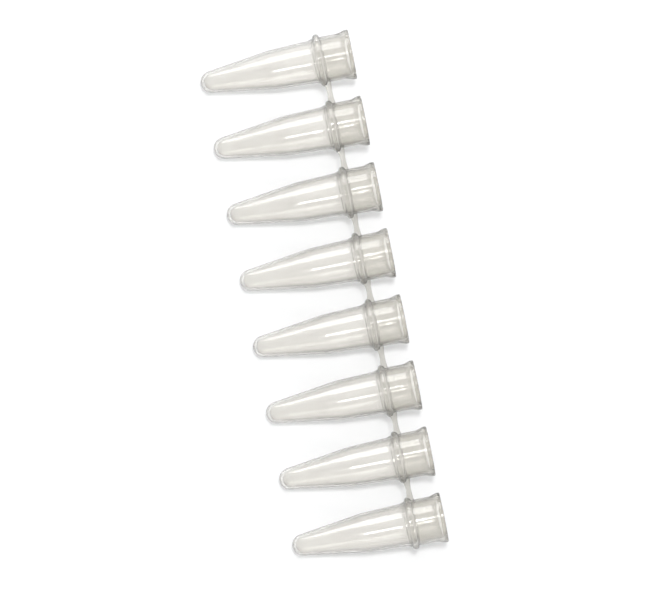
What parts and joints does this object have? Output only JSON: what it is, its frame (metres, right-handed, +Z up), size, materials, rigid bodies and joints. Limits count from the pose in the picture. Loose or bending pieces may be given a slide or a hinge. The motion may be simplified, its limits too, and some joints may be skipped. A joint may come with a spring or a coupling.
{
  "type": "pcr tube strip",
  "caption": "Strip of open, thin-walled conical reaction tubes with flared lips and flange rings, joined in a row by short links, lying on its side.",
  "frame": {"origin": "on the surface that the strip lies on, under the middle of its bounding box", "axes": "+X along the row of tubes, -Y towards the open mouths, +Z up from the surface; the tubes' axes lie in planes square to X and slope down 7.9 degrees from the mouths to the tips"},
  "size_m": [0.07, 0.0208, 0.0074],
  "materials": {
    "polypropylene": "natural clear polypropylene, slightly hazy, smooth moulded surface"
  },
  "bodies": {
    "root": {"tube_strip": "polypropylene"}
  },
  "joints": []
}
